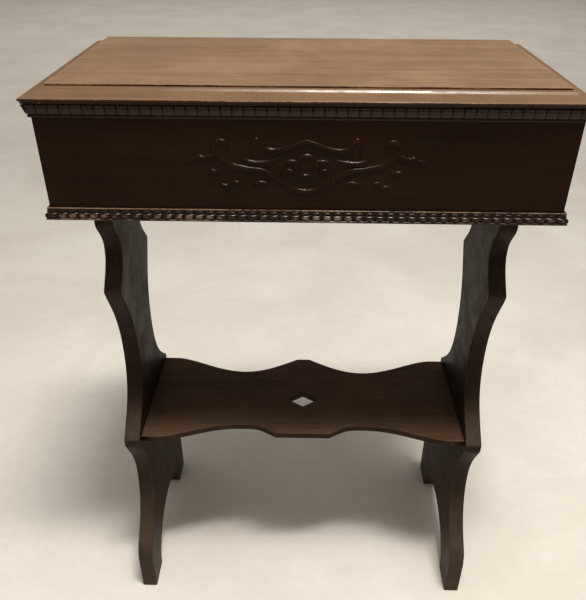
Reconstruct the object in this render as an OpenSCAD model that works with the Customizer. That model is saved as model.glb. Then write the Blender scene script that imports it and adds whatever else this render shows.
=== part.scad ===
// Lift-top sewing table: a shallow box with a hinged lid, carried by two scalloped
// end boards that are joined low down by a scalloped shelf.
// Z is up, the front faces -Y, and the origin is the middle of the footprint on the floor.

/* [Lid] */
// Width of the lid, left to right
lid_w = 510; // [420:1:640]
// Depth of the lid, front to back
lid_d = 270; // [222:1:340]
// Thickness of the lid's flat field
lid_t = 10; // [8:0.5:14]
// Height of the square edge below the lid's moulding
lid_edge_t = 4.4; // [3:0.1:6]
// How far the edge is cut back under its nosing
lid_undercut = 2.4; // [1:0.1:4]
// Width of the moulding along the lid's front edge
lid_front_moulding_w = 34; // [18:1:44]
// Width of the moulding along each side of the lid
lid_side_moulding_w = 14; // [10:1:24]
// Height of the small step between the field and its moulding
lid_step = 1.6; // [0.8:0.1:2.4]
// Gap between the closed lid and the box
lid_gap = 0.4; // [0.3:0.1:1]

/* [Box] */
// Height of the box walls
box_h = 110; // [90:1:140]
// Thickness of the box walls
wall_t = 12; // [10:0.5:15]
// How far the lid overhangs the box at the front and sides
lid_overhang = 7; // [7:0.5:10]
// Thickness of the box bottom
bottom_t = 6; // [5:0.5:8]
// Height of the bottom's underside above the walls' lower edges
bottom_raise = 4; // [3:0.5:8]
// Depth of the groove that holds the bottom
groove_depth = 5; // [3:0.5:6]
// Clearance round the bottom in its grooves
groove_gap = 0.2; // [0.1:0.1:0.5]
// Leg of the triangular corner blocks
block_leg = 22; // [15:1:30]
// Height of the corner blocks
block_h = 36; // [20:1:40]

/* [Beaded mouldings] */
// Height of the beaded mouldings
bead_h = 12; // [10:0.5:16]
// How far their large bead stands out from the box
bead_out = 4.8; // [3.5:0.1:6.5]
// How far their small bead stands out
small_bead_out = 2.9; // [2:0.1:4]
// How far their fillet stands out
fillet_out = 2.4; // [1.5:0.1:4]
// How far the upper moulding stands out under the lid
upper_out = 5.6; // [4:0.1:7]

/* [End boards] */
// Height of the end boards, floor to box bottom
board_h = 581; // [480:1:700]
// Thickness of the end boards
board_t = 20; // [16:0.5:25]
// Inset of the boards' outer faces from the sides of the box
board_inset = 19; // [14:1:40]
// Half depth of a board where it meets the box
top_half = 66; // [60:1:80]
// Half depth at the upper waist
upper_waist_half = 47.5; // [42:0.5:56]
// Height of the upper waist
upper_waist_z = 507; // [498:1:515]
// Half depth at the sharp shoulder
shoulder_half = 75.5; // [65:0.5:85]
// Height of the sharp shoulder
shoulder_z = 463; // [450:1:475]
// Half depth at the long waist
waist_half = 40.5; // [36:0.5:50]
// Height of the long waist
waist_z = 358; // [340:1:370]
// Half depth at the knee, beside the shelf
knee_half = 97.5; // [85:0.5:110]
// Height of the knee's lower corner
knee_z = 247; // [235:1:250]
// Height of the knee's short straight face
knee_face = 10; // [6:1:16]
// Half depth at the ankle
ankle_half = 68.5; // [60:0.5:75]
// Height of the ankle
ankle_z = 172; // [160:1:180]
// Half depth at the toes
toe_half = 126; // [110:1:140]
// Height of the toes' straight face
toe_z = 55; // [45:1:60]
// Half width of the arch between the feet
arch_half = 84; // [60:1:95]
// Height of the arch between the feet
arch_h = 62; // [45:1:75]

/* [Shelf] */
// Height of the shelf's top face
shelf_z = 256.5; // [254:0.5:257]
// Thickness of the shelf
shelf_t = 9; // [8:0.5:12]
// Half depth of the shelf at the end boards
shelf_end_half = 88; // [80:1:95]
// Length of the straight edge next to each board
shelf_straight = 22; // [15:1:40]
// Half depth of the shelf in the back scallops
back_scallop_half = 55.5; // [48:0.5:65]
// Half depth of the shelf in the front scallops
front_scallop_half = 62; // [48:0.5:68]
// Reach of the back bump from the shelf's middle line
back_bump = 88; // [75:1:92]
// Half width of the back bump's flat tip
back_bump_flat = 9; // [5:1:15]
// Reach of the front bump from the shelf's middle line
front_bump = 78; // [75:1:92]
// Half width of the front bump's flat tip
front_bump_flat = 35; // [5:1:40]
// Length of the diamond cut-out, left to right
diamond_w = 42; // [30:1:50]
// Depth of the diamond cut-out, front to back
diamond_d = 30; // [20:1:40]
// How far the diamond sits in front of the shelf's middle line
diamond_forward = 7; // [0:1:10]
// Diameter of the dowels between shelf and boards
dowel_d = 5; // [4:0.5:6]
// Length of each dowel
dowel_l = 30; // [24:1:34]
// Front-to-back spacing of the dowels
dowel_pitch = 55; // [35:1:60]

/* [Leg cleats] */
// Width of the square cleats under the box
cleat_w = 16; // [14:1:20]
// Length of the cleats
cleat_l = 124; // [110:1:130]
// Front-to-back spacing of the cleat screws
cleat_screw_pitch = 48; // [30:1:60]

/* [Hinges] */
// Length of each hinge
hinge_l = 50; // [40:1:64]
// Depth of a hinge leaf on the wall
leaf_d = 11; // [9:0.5:11.5]
// Thickness of a hinge leaf
leaf_t = 1.4; // [1:0.1:1.8]
// Outer radius of the hinge knuckles
knuckle_r = 2.8; // [2.4:0.1:3.2]
// Diameter of the hinge pin
pin_d = 3; // [2.4:0.1:3.4]
// Running clearance round the pin
pin_gap = 0.05; // [0.02:0.01:0.1]
// Distance of each hinge's middle from the side of the box
hinge_inset = 80; // [50:1:110]
// Gap between the knuckles and the backs of lid and box
knuckle_gap = 0.3; // [0.2:0.1:0.6]

/* [Sewing tray] */
// Length of the sliding tray, left to right
tray_l = 230; // [180:1:280]
// Height of the tray's walls
tray_h = 38; // [28:1:42]
// Thickness of the tray's walls
tray_wall = 6; // [5:0.5:8]
// Thickness of the tray's bottom
tray_bottom_t = 3.5; // [3:0.5:5]
// Gap between the tray and the box walls
tray_gap = 1; // [0.5:0.1:2]
// Gap under the tray, above its runners
runner_gap = 0.3; // [0.3:0.1:0.6]
// Depth of the tray's top edge below the top of the box
tray_drop = 6; // [4:1:12]
// Thickness of the tray's dividers
divider_t = 4; // [3:0.5:6]
// Depth of the tray's front compartment for thread
thread_bay = 70; // [50:1:90]
// Number of spool pegs
peg_count = 5; // [3:1:6]
// Diameter of the spool pegs
peg_d = 5; // [4:0.5:6]
// Height of the spool pegs above the tray's bottom
peg_h = 28; // [20:1:32]
// Width of the tray runners
runner_w = 8; // [6:1:12]
// Height of the tray runners
runner_h = 10; // [8:1:16]

/* [Hidden] */
$fn = 48;
overcut = 1;
steps = 14;
knuckle_count = 5;
knuckle_l = hinge_l/knuckle_count;
knuckle_side_gap = 0.2;
pin_head_t = 1;
divider_drop = 6;
peg_seat = 2;

stand_top = board_h - bottom_raise;
box_w = lid_w - 2*lid_overhang;
box_top = stand_top + box_h;
lid_z = box_top + lid_gap;
axis_back = knuckle_gap + knuckle_r;
front_y = -(lid_d + axis_back + knuckle_r)/2;
back_y = front_y + lid_d;
face_y = front_y + lid_overhang;
mid_y = front_y + lid_d/2;
inner_w = box_w - 2*wall_t;
inner_d = back_y - face_y - 2*wall_t;
inner_y = face_y + wall_t;
outer_x = box_w/2 - board_inset;
inner_x = outer_x - board_t;
floor_z = board_h + bottom_t;
axis_y = back_y + axis_back;
axis_z = box_top + lid_gap/2;
hinge_x = box_w/2 - hinge_inset;
tray_z = box_top - tray_drop - tray_h;
runner_z = tray_z - runner_gap - runner_h;
tray_d = inner_d - 2*tray_gap;
tray_x = -inner_w/2 + tray_gap;
tray_y = inner_y + tray_gap;
bay_y = tray_y + tray_wall + thread_bay;
divider_h = tray_h - tray_bottom_t - divider_drop;

// Wood screws, as diameter of the shank, of the head, and length
cleat_screw = [4, 8, 20];
leaf_screw_box = [2.6, 5, 14];
leaf_screw_lid = [2.6, 5, 7];
board_screw = [4, 8, 28];

walnut = "#4a2f22";
lid_brown = "#7d5236";
box_brown = "#2f1c15";
pine = "#b08a5c";
brass = "#b08d4a";
steel = "#8a8a88";

// Points of a cubic curve after its start point
function curve(a, b, c, d, n = steps) = [
    for (i = [1:n]) let(t = i/n, u = 1 - t)
        u*u*u*a + 3*u*u*t*b + 3*u*t*t*c + t*t*t*d
];

// The same points mirrored and in the opposite order
function flipped(points) = [for (i = [len(points)-1:-1:0]) [-points[i][0], points[i][1]]];

// Half outline of an end board from its top down to the toe, as [half depth, height]
board_half = concat(
    [[top_half, board_h], [top_half, upper_waist_z + 36]],
    curve([top_half, upper_waist_z + 36], [top_half, upper_waist_z + 26],
          [upper_waist_half, upper_waist_z + 16], [upper_waist_half, upper_waist_z]),
    curve([upper_waist_half, upper_waist_z], [upper_waist_half, upper_waist_z - 19],
          [shoulder_half - 15.5, shoulder_z + 17], [shoulder_half, shoulder_z]),
    curve([shoulder_half, shoulder_z], [shoulder_half - 9.5, shoulder_z - 25],
          [waist_half, waist_z + 57], [waist_half, waist_z]),
    curve([waist_half, waist_z], [waist_half, waist_z - 58],
          [knee_half - 31, knee_z + knee_face + 26], [knee_half, knee_z + knee_face]),
    [[knee_half, knee_z]],
    curve([knee_half, knee_z], [knee_half - 13, knee_z - 25],
          [ankle_half, ankle_z + 33], [ankle_half, ankle_z]),
    curve([ankle_half, ankle_z], [ankle_half, ankle_z - 47],
          [toe_half - 34, toe_z + 42], [toe_half - 14, toe_z + 27]),
    curve([toe_half - 14, toe_z + 27], [toe_half - 5, toe_z + 20],
          [toe_half - 1, toe_z + 11], [toe_half, toe_z], 6),
    [[toe_half, 0]]
);

// Points of the arch between the feet
arch_points = [for (a = [180:-7.5:0]) [arch_half*cos(a), arch_h*sin(a)]];

// Quarter outline of the shelf from a board to the middle, as [x, half depth]
function scallop(valley, bump, flat) = concat(
    [[inner_x, shelf_end_half], [inner_x - shelf_straight, shelf_end_half]],
    curve([inner_x - shelf_straight, shelf_end_half], [inner_x - 52, shelf_end_half - 4],
          [inner_x - 86, valley], [inner_x - 124, valley]),
    curve([inner_x - 124, valley], [inner_x - 150, valley],
          [flat + 26, bump - 17], [flat, bump])
);

back_edge = scallop(back_scallop_half, back_bump, back_bump_flat);
front_edge = scallop(front_scallop_half, front_bump, front_bump_flat);

module plan(z, h, points) {
    translate([0, 0, z]) linear_extrude(h) polygon(points);
}

module block(x, y, z, w, d, h) {
    translate([x, y, z]) cube([w, d, h]);
}

// A countersunk wood screw, point downwards, with the top of its head at the origin
module screw(size) {
    head = (size[1] - size[0])/2;
    rotate_extrude() polygon([
        [0, 0], [size[1]/2, 0], [size[0]/2, -head], [size[0]/2, -size[2] + size[0]/2],
        [0, -size[2]]
    ]);
}

// The left piece of a pair, drawn from its right one
module left_of() {
    mirror([1, 0, 0]) children();
}

// ---- Lid ----

// Section of a lid moulding, from its inner edge at 0 out to the nosing at w
function lid_section(w) = let(top = lid_t - lid_step, low = lid_edge_t + 1.3) concat(
    [[0, 0], [0, top], [w*0.12, top]],
    curve([w*0.12, top], [w*0.21, top], [w*0.22, low + 0.2], [w*0.32, low], 8),
    [[w - 1.2, lid_edge_t + 0.9], [w - 0.3, lid_edge_t + 0.6], [w, lid_edge_t]],
    curve([w, lid_edge_t*0.72], [w, lid_edge_t*0.55], [w - lid_undercut*0.5, lid_edge_t*0.5],
          [w - lid_undercut, lid_edge_t*0.5], 6),
    [[w - lid_undercut, 0]]
);

module lid_panel() {
    color(lid_brown) difference() {
        block(-lid_w/2 + lid_side_moulding_w, front_y + lid_front_moulding_w, lid_z,
              lid_w - 2*lid_side_moulding_w, lid_d - lid_front_moulding_w, lid_t);
        hinge_seats(lid_z - overcut, leaf_t + overcut);
        hinge_lid_screws();
    }
}

module lid_front_moulding() {
    w = lid_front_moulding_w;
    s = lid_side_moulding_w;
    color(lid_brown) intersection() {
        translate([-lid_w/2, front_y + w, lid_z]) rotate([90, 0, 90])
            linear_extrude(lid_w) polygon([for (p = lid_section(w)) [-p[0], p[1]]]);
        plan(lid_z, lid_t, [
            [-lid_w/2, front_y], [lid_w/2, front_y],
            [lid_w/2 - s, front_y + w], [-lid_w/2 + s, front_y + w]
        ]);
    }
}

module lid_side_moulding() {
    w = lid_front_moulding_w;
    s = lid_side_moulding_w;
    color(lid_brown) intersection() {
        translate([lid_w/2 - s, back_y, lid_z]) rotate([90, 0, 0])
            linear_extrude(lid_d) polygon(lid_section(s));
        plan(lid_z, lid_t, [
            [lid_w/2, front_y], [lid_w/2, back_y],
            [lid_w/2 - s, back_y], [lid_w/2 - s, front_y + w]
        ]);
    }
}

module lid_left_moulding() { left_of() lid_side_moulding(); }
module lid_right_moulding() { lid_side_moulding(); }

// ---- Box ----

module bottom_groove() {
    g = groove_depth;
    block(-inner_w/2 - g, inner_y - g, board_h - groove_gap,
          inner_w + 2*g, inner_d + 2*g, bottom_t + 2*groove_gap);
}

module box_front() {
    color(box_brown) difference() {
        plan(stand_top, box_h, [
            [-box_w/2, face_y], [box_w/2, face_y],
            [inner_w/2, inner_y], [-inner_w/2, inner_y]
        ]);
        bottom_groove();
    }
}

module box_back() {
    color(walnut) difference() {
        block(-inner_w/2, back_y - wall_t, stand_top, inner_w, wall_t, box_h);
        bottom_groove();
        hinge_seats(box_top - leaf_t, leaf_t + overcut);
        hinge_box_screws();
    }
}

module box_side() {
    color(walnut) difference() {
        plan(stand_top, box_h, [
            [inner_w/2, inner_y], [box_w/2, face_y], [box_w/2, back_y], [inner_w/2, back_y]
        ]);
        bottom_groove();
    }
}

module box_left_side() { left_of() box_side(); }
module box_right_side() { box_side(); }

module box_bottom() {
    g = groove_depth - groove_gap;
    color(pine) difference() {
        block(-inner_w/2 - g, inner_y - g, board_h, inner_w + 2*g, inner_d + 2*g, bottom_t);
        cleat_screws();
    }
}

module corner_block(side, end) {
    y = end < 0 ? inner_y : inner_y + inner_d;
    color(pine) plan(floor_z, block_h, [
        [side*inner_w/2, y], [side*(inner_w/2 - block_leg), y],
        [side*inner_w/2, y - end*block_leg]
    ]);
}

module block_front_left() { corner_block(-1, -1); }
module block_front_right() { corner_block(1, -1); }
module block_back_left() { corner_block(-1, 1); }
module block_back_right() { corner_block(1, 1); }

// ---- Beaded mouldings ----

// Section of the lower moulding, from its bottom up, as [distance out, height]
lower_section = concat(
    [[0, 0], [bead_out*0.9, 0], [bead_out*0.9, bead_h*0.15]],
    curve([bead_out*0.8, bead_h*0.18], [bead_out*1.05, bead_h*0.22],
          [bead_out*1.1, bead_h*0.55], [bead_out*0.55, bead_h*0.585], 10),
    curve([bead_out*0.55, bead_h*0.585], [small_bead_out*1.15, bead_h*0.6],
          [small_bead_out*1.15, bead_h*0.78], [fillet_out*0.85, bead_h*0.815], 6),
    [[fillet_out, bead_h*0.83], [fillet_out, bead_h], [0, bead_h]]
);

// Section of the upper moulding, which leans out towards the lid
upper_section = concat(
    [[0, 0], [fillet_out, 0], [fillet_out, bead_h*0.2]],
    curve([fillet_out, bead_h*0.22], [upper_out*0.8, bead_h*0.28],
          [upper_out*0.9, bead_h*0.6], [upper_out*0.86, bead_h*0.79], 10),
    [[upper_out, bead_h*0.82], [upper_out, bead_h], [0, bead_h]]
);

module front_moulding(section, out, z) {
    color(box_brown) intersection() {
        translate([-box_w/2 - out, face_y, z]) rotate([90, 0, 90])
            linear_extrude(box_w + 2*out) polygon([for (p = section) [-p[0], p[1]]]);
        plan(z, bead_h, [
            [-box_w/2 - out, face_y - out], [box_w/2 + out, face_y - out],
            [box_w/2, face_y], [-box_w/2, face_y]
        ]);
    }
}

module side_moulding(section, out, z) {
    color(box_brown) intersection() {
        translate([box_w/2, back_y, z]) rotate([90, 0, 0])
            linear_extrude(back_y - face_y + out) polygon(section);
        plan(z, bead_h, [
            [box_w/2, face_y], [box_w/2 + out, face_y - out],
            [box_w/2 + out, back_y], [box_w/2, back_y]
        ]);
    }
}

module upper_front_moulding() { front_moulding(upper_section, upper_out, box_top - bead_h); }
module upper_right_moulding() { side_moulding(upper_section, upper_out, box_top - bead_h); }
module upper_left_moulding() { left_of() upper_right_moulding(); }
module lower_front_moulding() { front_moulding(lower_section, bead_out, stand_top); }
module lower_right_moulding() { side_moulding(lower_section, bead_out, stand_top); }
module lower_left_moulding() { left_of() lower_right_moulding(); }

// ---- End boards and shelf ----

module end_board() {
    outline = concat(board_half, flipped(arch_points), flipped(board_half));
    color(walnut) difference() {
        translate([inner_x, mid_y, 0]) rotate([90, 0, 90])
            linear_extrude(board_t) polygon(outline);
        shelf_dowels();
        cleat_screws();
    }
}

module left_end_board() { left_of() end_board(); }
module right_end_board() { end_board(); }

module shelf() {
    right_back = [for (p = back_edge) [p[0], mid_y + p[1]]];
    left_back = [for (i = [len(back_edge)-1:-1:0]) [-back_edge[i][0], mid_y + back_edge[i][1]]];
    left_front = [for (p = front_edge) [-p[0], mid_y - p[1]]];
    right_front = [for (i = [len(front_edge)-1:-1:0]) [front_edge[i][0], mid_y - front_edge[i][1]]];
    diamond_y = mid_y - diamond_forward;
    color(walnut) difference() {
        plan(shelf_z - shelf_t, shelf_t, concat(right_back, left_back, left_front, right_front));
        plan(shelf_z - shelf_t - overcut, shelf_t + 2*overcut, [
            [diamond_w/2, diamond_y], [0, diamond_y + diamond_d/2],
            [-diamond_w/2, diamond_y], [0, diamond_y - diamond_d/2]
        ]);
        shelf_dowels();
    }
}

module shelf_dowels() {
    color(pine) for (side = [-1, 1], row = [-1, 0, 1])
        translate([side*inner_x - dowel_l/2, mid_y + row*dowel_pitch, shelf_z - shelf_t/2])
            rotate([0, 90, 0]) cylinder(d = dowel_d, h = dowel_l);
}

module right_cleat() {
    color(pine) difference() {
        block(inner_x - cleat_w, mid_y - cleat_l/2, board_h - cleat_w,
              cleat_w, cleat_l, cleat_w);
        cleat_screws();
    }
}

module left_cleat() { left_of() right_cleat(); }

// Upward screws hold the box bottom, sideways ones hold the end boards
module cleat_screws() {
    color(steel) for (side = [-1, 1], row = [-1, 0, 1]) {
        translate([side*(inner_x - cleat_w/2), mid_y + row*cleat_screw_pitch, board_h - cleat_w])
            rotate([180, 0, 0]) screw(cleat_screw);
        if (row != 0)
            translate([side*(inner_x - cleat_w), mid_y + row*cleat_screw_pitch/2,
                       board_h - cleat_w/2])
                rotate([0, -side*90, 0]) screw(board_screw);
    }
}

// ---- Hinges ----

module hinge_seats(z, h) {
    for (side = [-1, 1])
        block(side*hinge_x - hinge_l/2, back_y - leaf_d, z, hinge_l, leaf_d + overcut, h);
}

// A leaf with its knuckles on the hinge axis; odd is 0 for the box leaf and 1 for the lid leaf
module hinge_leaf(side, odd, z) {
    color(brass) difference() {
        union() {
            block(side*hinge_x - hinge_l/2, back_y - leaf_d, z, hinge_l, leaf_d, leaf_t);
            for (i = [odd:2:knuckle_count-1]) {
                x = side*hinge_x - hinge_l/2 + i*knuckle_l + (i == 0 ? 0 : knuckle_side_gap/2);
                w = knuckle_l - (i == 0 || i == knuckle_count-1 ? 0.5 : 1)*knuckle_side_gap;
                block(x, back_y - overcut, z, w, axis_back + overcut, leaf_t);
                translate([x, axis_y, axis_z]) rotate([0, 90, 0]) cylinder(r = knuckle_r, h = w);
            }
        }
        translate([side*hinge_x - hinge_l, axis_y, axis_z]) rotate([0, 90, 0])
            cylinder(r = pin_d/2 + pin_gap, h = 2*hinge_l);
        if (odd == 0) hinge_box_screws();
        else hinge_lid_screws();
    }
}

module hinge_pin(side) {
    color(steel) translate([side*hinge_x - hinge_l/2, axis_y, axis_z]) rotate([0, 90, 0]) {
        cylinder(d = pin_d, h = hinge_l);
        translate([0, 0, -pin_head_t]) cylinder(r = knuckle_r - 0.6, h = pin_head_t);
        translate([0, 0, hinge_l]) cylinder(r = knuckle_r - 0.6, h = pin_head_t);
    }
}

module left_hinge_box_leaf() { hinge_leaf(-1, 0, box_top - leaf_t); }
module left_hinge_lid_leaf() { hinge_leaf(-1, 1, lid_z); }
module left_hinge_pin() { hinge_pin(-1); }
module right_hinge_box_leaf() { hinge_leaf(1, 0, box_top - leaf_t); }
module right_hinge_lid_leaf() { hinge_leaf(1, 1, lid_z); }
module right_hinge_pin() { hinge_pin(1); }

module each_leaf_screw(z) {
    for (side = [-1, 1], row = [-1, 0, 1])
        translate([side*hinge_x + row*hinge_l/3, back_y - leaf_d/2, z]) children();
}

module hinge_box_screws() {
    color(brass) each_leaf_screw(box_top) screw(leaf_screw_box);
}

module hinge_lid_screws() {
    color(brass) each_leaf_screw(lid_z) rotate([180, 0, 0]) screw(leaf_screw_lid);
}

// ---- Sewing tray ----

module runner(y) {
    color(pine) block(-inner_w/2, y, runner_z, inner_w, runner_w, runner_h);
}

module front_runner() { runner(inner_y); }
module back_runner() { runner(inner_y + inner_d - runner_w); }

module tray_rail(y) {
    color(pine) block(tray_x, y, tray_z, tray_l, tray_wall, tray_h);
}

module tray_front() { tray_rail(tray_y); }
module tray_back() { tray_rail(tray_y + tray_d - tray_wall); }

module tray_end(x) {
    color(pine) block(x, tray_y + tray_wall, tray_z, tray_wall, tray_d - 2*tray_wall, tray_h);
}

module tray_left_end() { tray_end(tray_x); }
module tray_right_end() { tray_end(tray_x + tray_l - tray_wall); }

module tray_bottom() {
    color(pine) difference() {
        block(tray_x + tray_wall, tray_y + tray_wall, tray_z,
              tray_l - 2*tray_wall, tray_d - 2*tray_wall, tray_bottom_t);
        spool_pegs();
    }
}

module tray_long_divider() {
    color(pine) block(tray_x + tray_wall, bay_y, tray_z + tray_bottom_t,
                      tray_l - 2*tray_wall, divider_t, divider_h);
}

module tray_cross_divider() {
    y = bay_y + divider_t;
    color(pine) block(tray_x + tray_l/2 - divider_t/2, y, tray_z + tray_bottom_t,
                      divider_t, tray_y + tray_d - tray_wall - y, divider_h);
}

module spool_pegs() {
    pitch = (tray_l - 2*tray_wall)/peg_count;
    color(pine) for (i = [0:peg_count-1])
        translate([tray_x + tray_wall + (i + 0.5)*pitch, tray_y + tray_wall + thread_bay/2,
                   tray_z + tray_bottom_t - peg_seat])
            cylinder(d = peg_d, h = peg_h + peg_seat);
}

lid_panel();
lid_front_moulding();
lid_left_moulding();
lid_right_moulding();
box_front();
box_back();
box_left_side();
box_right_side();
box_bottom();
block_front_left();
block_front_right();
block_back_left();
block_back_right();
upper_front_moulding();
upper_left_moulding();
upper_right_moulding();
lower_front_moulding();
lower_left_moulding();
lower_right_moulding();
left_end_board();
right_end_board();
shelf();
shelf_dowels();
left_cleat();
right_cleat();
cleat_screws();
left_hinge_box_leaf();
left_hinge_lid_leaf();
left_hinge_pin();
right_hinge_box_leaf();
right_hinge_lid_leaf();
right_hinge_pin();
hinge_box_screws();
hinge_lid_screws();
front_runner();
back_runner();
tray_front();
tray_back();
tray_left_end();
tray_right_end();
tray_bottom();
tray_long_divider();
tray_cross_divider();
spool_pegs();
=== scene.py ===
import math

import bmesh
import bpy
import numpy as np
from mathutils import Matrix, Vector
from mathutils.kdtree import KDTree


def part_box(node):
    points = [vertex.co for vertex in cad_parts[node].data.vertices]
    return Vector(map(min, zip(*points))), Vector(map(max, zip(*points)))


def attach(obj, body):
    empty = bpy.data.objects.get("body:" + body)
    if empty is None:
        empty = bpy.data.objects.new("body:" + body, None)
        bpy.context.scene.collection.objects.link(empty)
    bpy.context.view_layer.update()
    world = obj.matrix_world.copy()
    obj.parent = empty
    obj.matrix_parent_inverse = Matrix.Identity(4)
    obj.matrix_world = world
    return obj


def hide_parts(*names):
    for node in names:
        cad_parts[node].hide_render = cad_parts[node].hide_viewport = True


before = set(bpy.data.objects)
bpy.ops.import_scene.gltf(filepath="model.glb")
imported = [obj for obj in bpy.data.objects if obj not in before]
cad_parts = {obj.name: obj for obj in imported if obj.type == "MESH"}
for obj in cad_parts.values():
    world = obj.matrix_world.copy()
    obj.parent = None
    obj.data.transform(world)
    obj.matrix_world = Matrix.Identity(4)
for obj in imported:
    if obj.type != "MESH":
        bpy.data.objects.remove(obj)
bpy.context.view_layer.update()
mm = 0.001
print("frame loaded with", len(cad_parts), "nodes")


# Picking and selecting

def clearSelection():
    if bpy.context.object and bpy.context.object.mode != "OBJECT":
        bpy.ops.object.mode_set(mode="OBJECT")
    bpy.ops.object.select_all(action="DESELECT")


def pick(piece):
    clearSelection()
    piece.select_set(True)
    bpy.context.view_layer.objects.active = piece


def editing(piece):
    pick(piece)
    bpy.ops.object.mode_set(mode="EDIT")
    bpy.ops.mesh.select_mode(type="VERT")
    bpy.ops.mesh.select_all(action="SELECT")


def doneEditing():
    bpy.ops.object.mode_set(mode="OBJECT")


def choose(kind, test):
    # selects the vertices, edges or faces that pass the test
    bpy.ops.mesh.select_mode(type=kind)
    bpy.ops.mesh.select_all(action="DESELECT")
    mesh = bpy.context.object.data
    shape = bmesh.from_edit_mesh(mesh)
    parts = {"VERT": shape.verts, "EDGE": shape.edges, "FACE": shape.faces}[kind]
    for part in parts:
        if test(part):
            part.select_set(True)
    bmesh.update_edit_mesh(mesh)


def isSharp(edge, degrees=35):
    return len(edge.link_faces) == 2 and edge.calc_face_angle(0) > math.radians(degrees)


def middle(edge):
    return (edge.verts[0].co + edge.verts[1].co)/2


# Shaping

def samplePath(strokes, steps):
    # a stroke is one point for a line, or two handles and a point for a curve; the path is closed
    points = []
    start = strokes[-1][-1]
    for stroke in strokes:
        if len(stroke) == 3:
            a, b, c, d = (np.array(p, float) for p in (start, *stroke))
            for i in range(1, steps + 1):
                t = i/steps
                u = 1 - t
                points.append(u*u*u*a + 3*u*u*t*b + 3*u*t*t*c + t*t*t*d)
        else:
            points.append(np.array(stroke[-1], float))
        start = stroke[-1]
    return points


def traceOutline(name, strokes, steps=10):
    clearSelection()
    bpy.ops.curve.primitive_nurbs_path_add()
    drawn = bpy.context.object
    drawn.name = name
    points = samplePath(strokes, steps)
    spline = drawn.data.splines[0]
    spline.type = "POLY"
    spline.points.add(len(points) - len(spline.points))
    for place, point in zip(spline.points, points):
        place.co = (point[0]*mm, point[1]*mm, 0, 1)
    spline.use_cyclic_u = True
    bpy.ops.object.convert(target="MESH")
    editing(drawn)
    bpy.ops.mesh.remove_doubles(threshold=1e-6)
    doneEditing()
    drawn.data.name = name
    return drawn


def fillAndPull(piece, steps):
    # fills an outline and extrudes it up in steps, in millimetres
    editing(piece)
    bpy.ops.mesh.edge_face_add()
    pullUp(steps)


def pullUp(steps):
    for step in steps:
        bpy.ops.mesh.extrude_region_move(TRANSFORM_OT_translate={"value": (0, 0, step*mm)})
    faceOutwards()
    doneEditing()


def faceOutwards():
    bpy.ops.mesh.select_all(action="SELECT")
    bpy.ops.mesh.normals_make_consistent(inside=False)


def settle(piece, turn=(0, 0, 0), place=(0, 0, 0)):
    pick(piece)
    piece.rotation_euler = [math.radians(a) for a in turn]
    piece.location = place
    bpy.ops.object.transform_apply(location=True, rotation=True, scale=True)


def leftOf(piece, name):
    pick(piece)
    bpy.ops.object.duplicate()
    twin = bpy.context.object
    twin.name = name
    twin.data.name = name
    twin.scale = (-1, 1, 1)
    bpy.ops.object.transform_apply(location=True, rotation=True, scale=True)
    editing(twin)
    faceOutwards()
    doneEditing()
    return twin


def cutOff(piece, place, normal):
    # removes what lies on the side that the normal points to, and closes the cut
    editing(piece)
    bpy.ops.mesh.bisect(plane_co=place, plane_no=normal, use_fill=True, clear_outer=True, threshold=1e-6)
    doneEditing()


def applyModifier(piece, kind, **values):
    pick(piece)
    modifier = piece.modifiers.new(kind.lower(), kind)
    for key, value in values.items():
        setattr(modifier, key, value)
    bpy.ops.object.modifier_apply(modifier=modifier.name)


def copyNode(node, name):
    # a merged copy of a CAD node's mesh, to be finished in its place
    piece = bpy.data.objects.new(name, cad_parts[node].data.copy())
    piece.data.name = name
    piece.data.materials.clear()
    bpy.context.scene.collection.objects.link(piece)
    editing(piece)
    bpy.ops.mesh.remove_doubles(threshold=2e-6)
    bpy.ops.mesh.dissolve_limited(angle_limit=math.radians(1.5))
    doneEditing()
    return piece


# Worn edges: how near each point lies to a sharp arris is kept as an attribute

def linePoints(a, b):
    count = max(1, int((b - a).length/(1.5*mm)))
    return [a.lerp(b, i/count) for i in range(count + 1)]


def sharpPoints(piece, degrees=35):
    shape = bmesh.new()
    shape.from_mesh(piece.data)
    points = []
    for edge in shape.edges:
        if isSharp(edge, degrees) and edge.is_convex:
            points += linePoints(*(v.co.copy() for v in edge.verts))
    shape.free()
    return points


def keepValues(piece, name, values):
    attribute = piece.data.attributes.new(name, "FLOAT", "POINT")
    attribute.data.foreach_set("value", values)


def keepNearness(piece, points, reach):
    tree = KDTree(len(points))
    for i, point in enumerate(points):
        tree.insert(point, i)
    tree.balance()
    keepValues(piece, "arris", [max(0.0, 1 - tree.find(v.co)[2]/(reach*mm)) for v in piece.data.vertices])


# Edges shorter than this would cross in the next ring: a share of the ring, and a limit in millimetres
ringWeld = {"share": 0.75, "limit": 0.9}


def wearEdges(piece, radius, segments=3, rings=(), ringArea=6e-4, reach=3, skip=None, degrees=35, points=None):
    # rings of vertices beside the arrises, rounded arrises, and even shading
    if rings:
        editing(piece)
        for ring in rings:
            choose("FACE", lambda f: f.calc_area() > ringArea)
            bpy.ops.mesh.inset(thickness=ring*mm, use_even_offset=True, use_individual=True)
            bpy.ops.mesh.remove_doubles(threshold=min(ringWeld["limit"], ring*ringWeld["share"])*mm)
        doneEditing()
        reach = sum(rings)
    points = points or sharpPoints(piece, degrees)
    editing(piece)
    choose("EDGE", lambda e: isSharp(e, degrees) and not (skip and skip(middle(e))))
    bpy.ops.mesh.bevel(offset=radius*mm, segments=segments, profile=0.5, affect="EDGES", clamp_overlap=True)
    bpy.ops.mesh.select_all(action="SELECT")
    bpy.ops.mesh.dissolve_degenerate(threshold=5e-6)
    doneEditing()
    keepNearness(piece, points, reach)
    smoothEvenly(piece)


# How far upwards a face has to point to start taking the painted light from above, and to take all of it
topLightRange = {"start": 0.25, "end": 0.75}


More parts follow.
